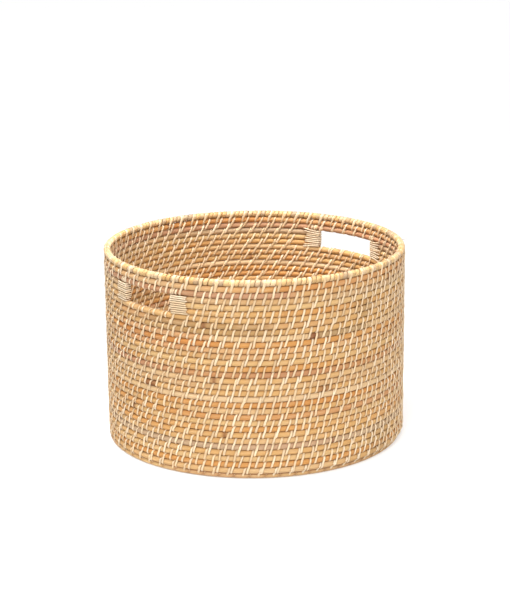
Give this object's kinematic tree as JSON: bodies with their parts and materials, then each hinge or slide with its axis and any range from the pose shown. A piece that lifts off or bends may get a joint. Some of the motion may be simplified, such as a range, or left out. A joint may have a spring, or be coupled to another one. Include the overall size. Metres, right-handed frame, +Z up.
{
  "type": "coiled rattan storage basket",
  "caption": "Round straight-sided open storage basket of coiled rattan rods stitched with split cane, with a wrapped rim and two opposed cut-out hand slots.",
  "frame": {"origin": "centre of the base, on the floor", "axes": "+Z up out of the open mouth; the two hand slots are cut through the wall on -X (left) and +X (right), and -Y is the front"},
  "size_m": [0.401, 0.401, 0.2606],
  "materials": {
    "rattan_rod": "satin, peeled round rattan, honey with orange, pink-brown and grey-beige rods",
    "stitch_cane": "semi-gloss split cane, pale cream",
    "rim_cane": "semi-gloss split cane, cream to honey"
  },
  "bodies": {
    "root": {"base_rod_1": "rattan_rod", "base_rod_2": "rattan_rod", "base_rod_3": "rattan_rod", "base_rod_4": "rattan_rod", "base_rod_5": "rattan_rod", "base_rod_6": "rattan_rod", "wall_rod_02": "rattan_rod", "wall_rod_03": "rattan_rod", "wall_rod_04": "rattan_rod", "wall_rod_05": "rattan_rod", "wall_rod_06": "rattan_rod", "wall_rod_07": "rattan_rod", "wall_rod_08": "rattan_rod", "wall_rod_09": "rattan_rod", "wall_rod_10": "rattan_rod", "wall_rod_11": "rattan_rod", "wall_rod_12": "rattan_rod", "wall_rod_13": "rattan_rod", "wall_rod_14": "rattan_rod", "wall_rod_15": "rattan_rod", "wall_rod_16": "rattan_rod", "wall_rod_17": "rattan_rod", "wall_rod_18": "rattan_rod", "wall_rod_19": "rattan_rod", "wall_rod_20": "rattan_rod", "wall_rod_21": "rattan_rod", "wall_rod_22": "rattan_rod", "wall_rod_23": "rattan_rod", "wall_rod_24": "rattan_rod", "wall_rod_25": "rattan_rod", "wall_rod_26": "rattan_rod", "wall_rod_27": "rattan_rod", "wall_rod_31": "rattan_rod", "wall_rod_32": "rattan_rod", "slot_rod_28_front": "rattan_rod", "slot_rod_29_front": "rattan_rod", "slot_rod_30_front": "rattan_rod", "slot_rod_28_back": "rattan_rod", "slot_rod_29_back": "rattan_rod", "slot_rod_30_back": "rattan_rod", "rim_rod": "rattan_rod", "rim_wrap": "rim_cane", "rim_stitches": "rim_cane", "left_slot_binding_front": "stitch_cane", "left_slot_binding_back": "stitch_cane", "right_slot_binding_front": "stitch_cane", "right_slot_binding_back": "stitch_cane", "base_stitching": "stitch_cane", "wall_stitching_low": "stitch_cane", "wall_stitching_middle": "stitch_cane", "wall_stitching_high": "stitch_cane", "slot_stitching": "stitch_cane", "top_stitching": "stitch_cane"}
  },
  "joints": []
}
